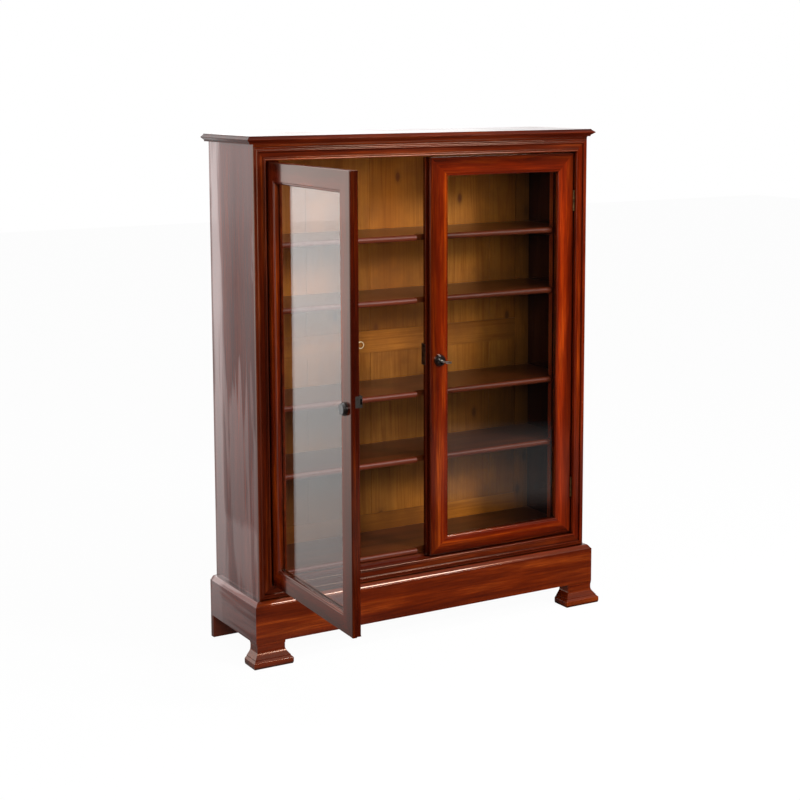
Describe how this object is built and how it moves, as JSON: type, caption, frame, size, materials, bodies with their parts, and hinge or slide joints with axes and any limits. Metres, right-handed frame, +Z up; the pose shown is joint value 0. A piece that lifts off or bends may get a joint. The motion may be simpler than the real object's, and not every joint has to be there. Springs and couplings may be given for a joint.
{
  "type": "glazed bookcase",
  "caption": "Wooden bookcase on low feet, with framed glass doors, open shelves inside, a boarded back, a moulded top and plinth, and a lock with its key.",
  "frame": {"origin": "on the floor, at the middle of the footprint of the bookcase as it stands, with its left door open", "axes": "+Z up, +X to the right of someone who faces the doors, +Y towards the back"},
  "size_m": [1.226, 0.8386, 1.524],
  "materials": {
    "mahogany": "french polished, glossy",
    "pine": "waxed, satin",
    "shelf_wood": "planed, satin",
    "hinge_brass": "aged",
    "glass": "clear",
    "ebonised": "black, polished",
    "iron": "dark, worn",
    "steel": "worn",
    "bright_brass": "bright"
  },
  "bodies": {
    "case": {"side_left": "mahogany", "side_right": "mahogany", "top_board": "mahogany", "sub_top": "pine", "jamb_left": "mahogany", "jamb_right": "mahogany", "head_rail": "mahogany", "sill_rail": "mahogany", "frame_left": "mahogany", "frame_right": "mahogany", "frame_top": "mahogany", "frame_base": "mahogany", "bed_moulding": "mahogany", "plinth_front": "mahogany", "plinth_left": "mahogany", "plinth_right": "mahogany", "plinth_back": "shelf_wood", "glue_blocks": "shelf_wood", "foot_front_left": "mahogany", "foot_front_right": "mahogany", "foot_back_left": "mahogany", "foot_back_right": "mahogany", "back_stile_left": "pine", "back_stile_right": "pine", "back_rail_top": "pine", "back_rail_middle": "pine", "back_rail_low": "pine", "back_boards_upper": "pine", "back_boards_lower": "pine", "floor_board": "shelf_wood", "floor_bearers": "shelf_wood", "shelf_battens": "shelf_wood", "shelf_1": "shelf_wood", "shelf_2": "shelf_wood", "shelf_3": "shelf_wood", "shelf_4": "shelf_wood", "hinge_leaves_fixed": "hinge_brass", "hinge_pins": "hinge_brass"},
    "left_door": {"left_hinge_stile": "mahogany", "left_meeting_stile": "mahogany", "left_top_rail": "mahogany", "left_low_rail": "mahogany", "left_glass": "glass", "left_glazing_beads": "mahogany", "left_hinge_leaves": "hinge_brass", "left_knob": "ebonised", "lock_keep": "iron", "screw_eye": "bright_brass"},
    "right_door": {"right_hinge_stile": "mahogany", "right_meeting_stile": "mahogany", "right_top_rail": "mahogany", "right_low_rail": "mahogany", "right_glass": "glass", "right_glazing_beads": "mahogany", "right_hinge_leaves": "hinge_brass", "key_boss": "ebonised", "lock_case": "iron"},
    "key_body": {"key": "steel"},
    "bolt_body": {"lock_bolt": "iron"}
  },
  "joints": [
    {"name": "left_door_hinge", "type": "hinge", "parent": "case", "child": "left_door", "pos_m": [-0.5335, 0.11772, 0.5], "axis": [0, 0, -1], "range_deg": [-92.5, 7.5]},
    {"name": "right_door_hinge", "type": "hinge", "parent": "case", "child": "right_door", "pos_m": [0.5335, 0.11772, 0.5], "axis": [0, 0, 1], "range_deg": [0, 100]},
    {"name": "key_turn", "type": "hinge", "parent": "right_door", "child": "key_body", "pos_m": [0.04, 0.11872, 0.837], "axis": [0, -1, 0], "range_deg": [0, 180]},
    {"name": "bolt_slide", "type": "slide", "parent": "right_door", "child": "bolt_body", "axis": [-1, 0, 0], "range_m": [0, 0.007]}
  ],
  "couplings": [
    {"joint": "bolt_slide", "follows": "key_turn", "m_per_rad": 0.0022}
  ]
}
